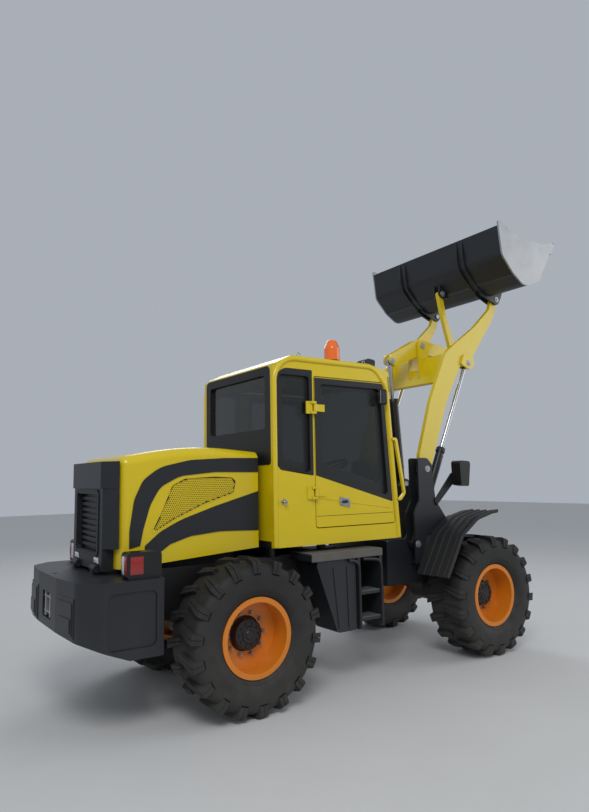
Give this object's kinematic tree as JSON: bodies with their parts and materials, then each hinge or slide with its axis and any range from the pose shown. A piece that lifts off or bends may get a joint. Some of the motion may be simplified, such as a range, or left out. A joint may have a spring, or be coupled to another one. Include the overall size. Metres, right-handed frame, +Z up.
{
  "type": "compact articulated wheel loader",
  "caption": "Compact articulated wheel loader with raised bucket, Z-bar linkage, hollow cab, tilting hood, lift, tilt and steering cylinders",
  "frame": {"origin": "on the floor under the articulation pivot, at the middle of the machine's length and width", "axes": "+X forward to the bucket, +Y left, +Z up"},
  "size_m": [4.9987, 1.9, 4.2082],
  "materials": {
    "yellow_paint": "gloss",
    "dark_paint": "satin",
    "black_paint": "satin",
    "orange_paint": "gloss",
    "cast_iron": "rough",
    "lamp_red": "gloss",
    "dark_glass": "gloss",
    "black_plastic": "matte",
    "dark_plastic": "matte",
    "amber_plastic": "gloss",
    "steel": "worn",
    "chrome_rod": "polished",
    "tyre_rubber": "matte"
  },
  "bodies": {
    "rear": {"rear_frame": "black_paint", "rear_axle": "black_paint", "engine_block": "cast_iron", "counterweight": "dark_paint", "tail_lamps": "lamp_red", "side_steps": "dark_paint", "cab_floor": "black_paint", "cab_sides": "yellow_paint", "cab_rear": "yellow_paint", "cab_front": "yellow_paint", "cab_roof": "yellow_paint", "cab_glass": "dark_glass", "seat": "black_plastic", "controls": "black_plastic", "steering_wheel": "black_plastic", "beacon": "amber_plastic", "work_lamps": "black_plastic", "grab_rails": "black_paint"},
    "hood": {"hood_shell": "yellow_paint", "hood_bands": "dark_paint", "hood_mesh": "black_plastic", "radiator_housing": "dark_paint", "rear_grille": "black_plastic"},
    "left_door": {"door_left": "yellow_paint", "door_glass_left": "dark_glass"},
    "right_door": {"door_right": "yellow_paint", "door_glass_right": "dark_glass"},
    "front": {"front_frame": "dark_paint", "front_axle": "black_paint", "front_fenders": "dark_plastic", "headlamps": "black_plastic", "tilt_pin": "steel"},
    "boom_arms": {"boom": "yellow_paint", "bucket_pins": "steel", "rocker_pin": "steel"},
    "bucket": {"bucket_shell": "dark_paint", "bucket_edge": "steel", "bucket_sides": "steel", "link_pin": "steel"},
    "link": {"bucket_link": "yellow_paint"},
    "rocker_body": {"rocker": "yellow_paint"},
    "tilt_cylinder": {"tilt_barrel": "black_paint"},
    "tilt_rod_body": {"tilt_rod": "chrome_rod"},
    "lift_cylinders": {"lift_barrels": "black_paint"},
    "lift_rod_pair": {"lift_rods": "chrome_rod"},
    "steer_left_cylinder": {"steer_barrel_left": "black_paint"},
    "steer_left_rod": {"steer_rod_left": "chrome_rod"},
    "steer_right_cylinder": {"steer_barrel_right": "black_paint"},
    "steer_right_rod": {"steer_rod_right": "chrome_rod"},
    "wheel_front_left": {"tyre_front_left": "tyre_rubber", "rim_front_left": "orange_paint"},
    "wheel_front_right": {"tyre_front_right": "tyre_rubber", "rim_front_right": "orange_paint"},
    "wheel_rear_left": {"tyre_rear_left": "tyre_rubber", "rim_rear_left": "orange_paint"},
    "wheel_rear_right": {"tyre_rear_right": "tyre_rubber", "rim_rear_right": "orange_paint"}
  },
  "joints": [
    {"name": "articulation", "type": "hinge", "parent": "rear", "child": "front", "pos_m": [0, 0, 0.79], "axis": [0, 0, 1], "range_deg": [-35, 35]},
    {"name": "wheel_front_left_spin", "type": "hinge", "parent": "front", "child": "wheel_front_left", "pos_m": [1.29, 0.71, 0.54], "axis": [0, 1, 0], "continuous": true},
    {"name": "wheel_front_right_spin", "type": "hinge", "parent": "front", "child": "wheel_front_right", "pos_m": [1.29, -0.71, 0.54], "axis": [0, 1, 0], "continuous": true},
    {"name": "wheel_rear_left_spin", "type": "hinge", "parent": "rear", "child": "wheel_rear_left", "pos_m": [-1.29, 0.71, 0.54], "axis": [0, 1, 0], "continuous": true},
    {"name": "wheel_rear_right_spin", "type": "hinge", "parent": "rear", "child": "wheel_rear_right", "pos_m": [-1.29, -0.71, 0.54], "axis": [0, 1, 0], "continuous": true},
    {"name": "door_left_swing", "type": "hinge", "parent": "rear", "child": "left_door", "pos_m": [-0.565, 0.62, 2], "axis": [0, 0, 1], "range_deg": [0, 170]},
    {"name": "door_right_swing", "type": "hinge", "parent": "rear", "child": "right_door", "pos_m": [-0.565, -0.62, 2], "axis": [0, 0, -1], "range_deg": [0, 170]},
    {"name": "hood_tilt", "type": "hinge", "parent": "rear", "child": "hood", "pos_m": [-2.24, 0, 1.04], "axis": [0, -1, 0], "range_deg": [0, 55]},
    {"name": "boom_lift", "type": "hinge", "parent": "front", "child": "boom_arms", "pos_m": [0.86, 0, 1.72], "axis": [0, -1, 0], "range_deg": [-103.5, 0]},
    {"name": "bucket_tilt", "type": "hinge", "parent": "boom_arms", "child": "bucket", "pos_m": [2.06, 0, 3.575], "axis": [0, 1, 0], "range_deg": [-45.8, 102.7]},
    {"name": "rocker_turn", "type": "hinge", "parent": "boom_arms", "child": "rocker_body", "pos_m": [1.295, 0, 3.047], "axis": [0, -1, 0], "range_deg": [-18, 40.36]},
    {"name": "link_turn", "type": "hinge", "parent": "bucket", "child": "link", "pos_m": [1.67847, 0, 3.69197], "axis": [0, -1, 0], "range_deg": [-19.62, 43.99]},
    {"name": "tilt_cylinder_swing", "type": "hinge", "parent": "front", "child": "tilt_cylinder", "pos_m": [0.9775, 0, 1.5788], "axis": [0, -1, 0], "range_deg": [-102.22, 0]},
    {"name": "tilt_cylinder_stroke", "type": "slide", "parent": "tilt_cylinder", "child": "tilt_rod_body", "axis": [-0.0789, 0, 0.9969], "range_m": [-0.22031, 0.09852]},
    {"name": "lift_cylinder_swing", "type": "hinge", "parent": "front", "child": "lift_cylinders", "pos_m": [0.7, 0, 1.02], "axis": [0, -1, 0], "range_deg": [-76.95, 0]},
    {"name": "lift_cylinder_stroke", "type": "slide", "parent": "lift_cylinders", "child": "lift_rod_pair", "axis": [0.4299, 0, 0.9029], "range_m": [-0.90173, 0]},
    {"name": "steer_left_swing", "type": "hinge", "parent": "rear", "child": "steer_left_cylinder", "pos_m": [-0.62, 0.24, 0.79], "axis": [0, 0, 1], "range_deg": [-4.82, 4.82]},
    {"name": "steer_left_stroke", "type": "slide", "parent": "steer_left_cylinder", "child": "steer_left_rod", "axis": [0.9981, 0.0624, 0], "range_m": [-0.16395, 0.16395]},
    {"name": "steer_right_swing", "type": "hinge", "parent": "rear", "child": "steer_right_cylinder", "pos_m": [-0.62, -0.24, 0.79], "axis": [0, 0, 1], "range_deg": [-4.82, 4.82]},
    {"name": "steer_right_stroke", "type": "slide", "parent": "steer_right_cylinder", "child": "steer_right_rod", "axis": [0.9981, -0.0624, 0], "range_m": [-0.16395, 0.16395]}
  ],
  "couplings": [
    {"joint": "rocker_turn", "follows": "bucket_tilt", "ratio": 0.39288},
    {"joint": "link_turn", "follows": "bucket_tilt", "ratio": 0.42826},
    {"joint": "tilt_cylinder_swing", "follows": "boom_lift", "ratio": 0.98757},
    {"joint": "tilt_cylinder_stroke", "follows": "bucket_tilt", "m_per_rad": -0.12263},
    {"joint": "lift_cylinder_swing", "follows": "boom_lift", "ratio": 0.74337},
    {"joint": "lift_cylinder_stroke", "follows": "boom_lift", "m_per_rad": 0.49891},
    {"joint": "steer_left_swing", "follows": "articulation", "ratio": 0.13735},
    {"joint": "steer_left_stroke", "follows": "articulation", "m_per_rad": -0.26757},
    {"joint": "steer_right_swing", "follows": "articulation", "ratio": 0.13735},
    {"joint": "steer_right_stroke", "follows": "articulation", "m_per_rad": 0.26757}
  ]
}
